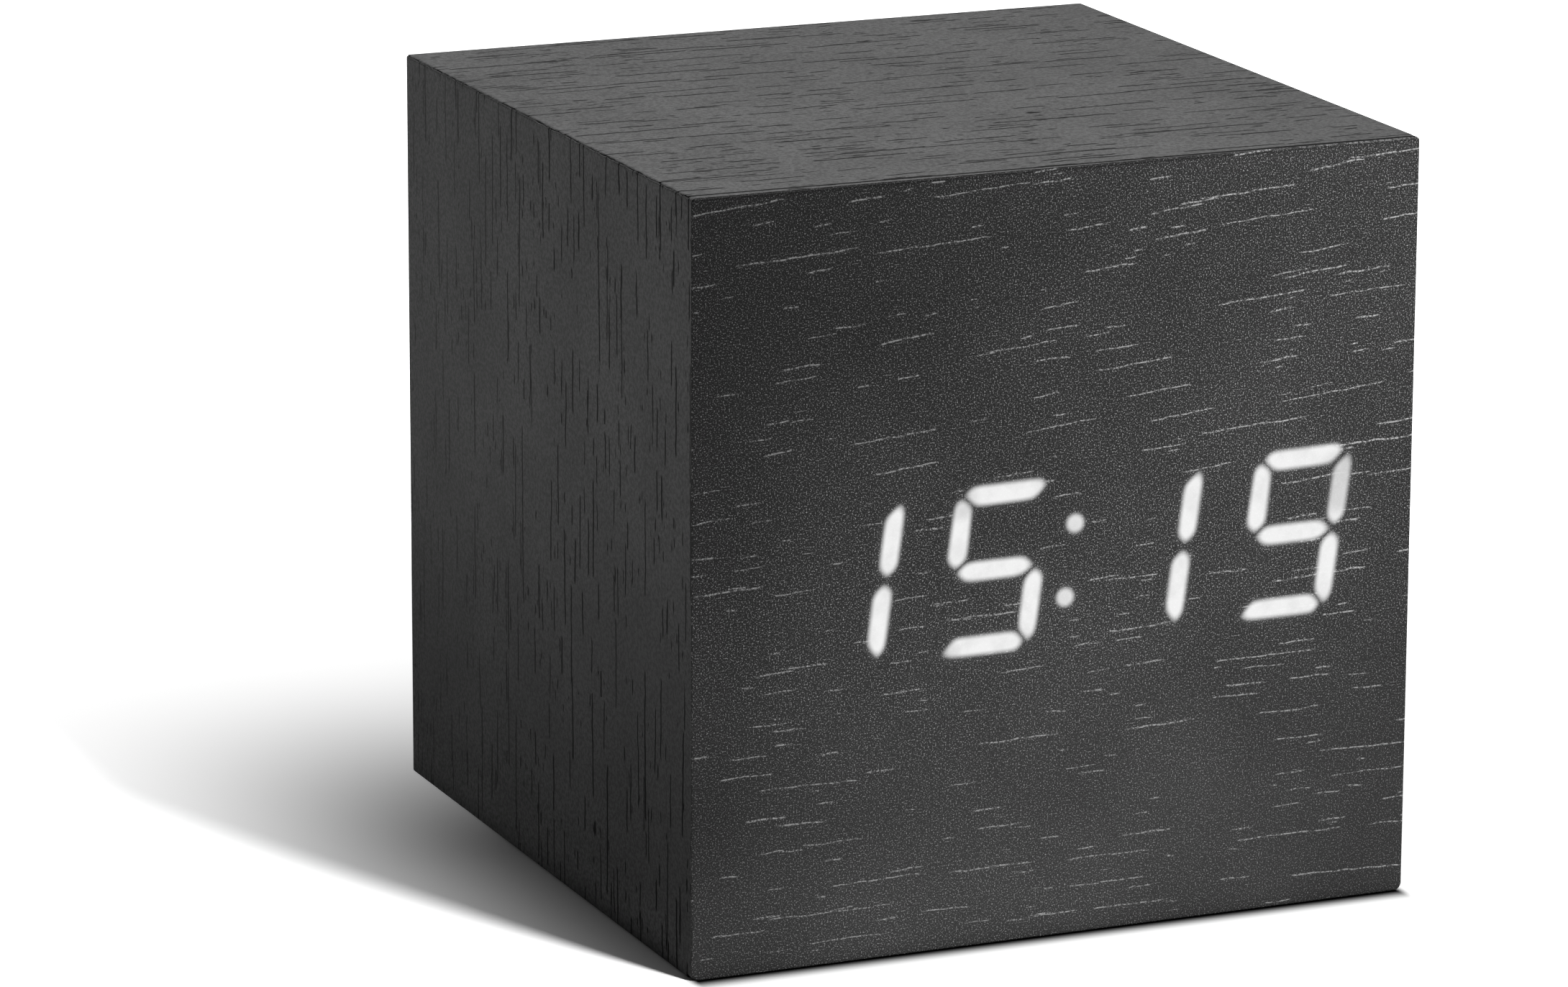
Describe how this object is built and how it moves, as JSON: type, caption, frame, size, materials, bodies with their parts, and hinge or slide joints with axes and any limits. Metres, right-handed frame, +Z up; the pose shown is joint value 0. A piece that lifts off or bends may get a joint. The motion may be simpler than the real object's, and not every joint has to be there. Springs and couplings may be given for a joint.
{
  "type": "digital alarm clock",
  "caption": "Cube-shaped digital alarm clock in dark wood-grain boards, with white lit digits shining through its front and buttons, a switch, a socket and a cell tray at its back.",
  "frame": {"origin": "middle of the face that the clock stands on", "axes": "+Z up, the front with its digits looks along -Y, +X to the right as seen from the front"},
  "size_m": [0.068, 0.068, 0.068],
  "materials": {
    "case_boards": "fibreboard wrapped in matte near-black wood-grain film",
    "front_film": "thin light-passing near-black wood-grain film, lightly textured",
    "corner_blocks": "raw pale wood",
    "white_plastic": "white, matte",
    "circuit_boards": "green solder resist on glass laminate",
    "electronic_parts": "black moulded packages",
    "connectors": "cream nylon",
    "ribbon_cable": "grey vinyl ribbon",
    "screws": "zinc plated",
    "back_screws": "black plated steel",
    "black_plastic": "black, finely spark-textured",
    "buttons": "black, satin",
    "cells": "plain printed sleeve over a steel can",
    "contacts": "nickel or tin plated",
    "lead_red": "red vinyl insulation",
    "lead_black": "black vinyl insulation"
  },
  "bodies": {
    "case": {"case_bottom": "case_boards", "case_left": "case_boards", "case_top": "case_boards", "case_right": "case_boards", "front_panel": "front_film", "corner_block_left_low": "corner_blocks", "corner_block_right_low": "corner_blocks", "corner_block_left_high": "corner_blocks", "corner_block_right_high": "corner_blocks", "diffuser_sheet": "white_plastic", "light_block": "white_plastic", "display_board": "circuit_boards", "display_driver": "electronic_parts", "display_header": "connectors", "display_ribbon": "ribbon_cable", "display_screw_1": "screws", "display_screw_2": "screws", "display_screw_3": "screws", "display_screw_4": "screws", "main_board": "circuit_boards", "main_header": "connectors", "clock_chip": "electronic_parts", "clock_crystal": "contacts", "capacitor": "electronic_parts", "buzzer": "electronic_parts", "sound_sensor": "contacts", "push_switch_set": "electronic_parts", "push_switch_up": "electronic_parts", "push_switch_down": "electronic_parts", "switch_body": "contacts", "power_socket": "black_plastic", "power_socket_pin": "contacts", "board_screw_1": "screws", "board_screw_2": "screws", "board_screw_3": "screws", "back_panel": "black_plastic", "back_screw_1": "back_screws", "back_screw_2": "back_screws", "back_screw_3": "back_screws", "back_screw_4": "back_screws", "aaa_cell_1": "cells", "aaa_cell_2": "cells", "aaa_cell_3": "cells", "contact_spring_1": "contacts", "contact_spring_2": "contacts", "contact_spring_3": "contacts", "contact_plus": "contacts", "contact_link_left": "contacts", "contact_link_right": "contacts", "contact_minus": "contacts", "lead_plus": "lead_red", "lead_minus": "lead_black"},
    "set_button": {"button_set": "buttons", "push_plunger_set": "black_plastic"},
    "up_button": {"button_up": "buttons", "push_plunger_up": "black_plastic"},
    "down_button": {"button_down": "buttons", "push_plunger_down": "black_plastic"},
    "sound_switch": {"switch_slider": "buttons"},
    "door": {"battery_door": "black_plastic"}
  },
  "joints": [
    {"name": "press_set", "type": "slide", "parent": "case", "child": "set_button", "axis": [0, -1, 0], "range_m": [0, 0.0005], "stiffness_N_per_m": 3000},
    {"name": "press_up", "type": "slide", "parent": "case", "child": "up_button", "axis": [0, -1, 0], "range_m": [0, 0.0005], "stiffness_N_per_m": 3000},
    {"name": "press_down", "type": "slide", "parent": "case", "child": "down_button", "axis": [0, -1, 0], "range_m": [0, 0.0005], "stiffness_N_per_m": 3000},
    {"name": "slide_sound_switch", "type": "slide", "parent": "case", "child": "sound_switch", "axis": [1, 0, 0], "range_m": [0, 0.002]},
    {"name": "swing_battery_door", "type": "hinge", "parent": "case", "child": "door", "pos_m": [0, 0.031, 0.0461], "axis": [1, 0, 0], "range_deg": [0, 45]}
  ]
}
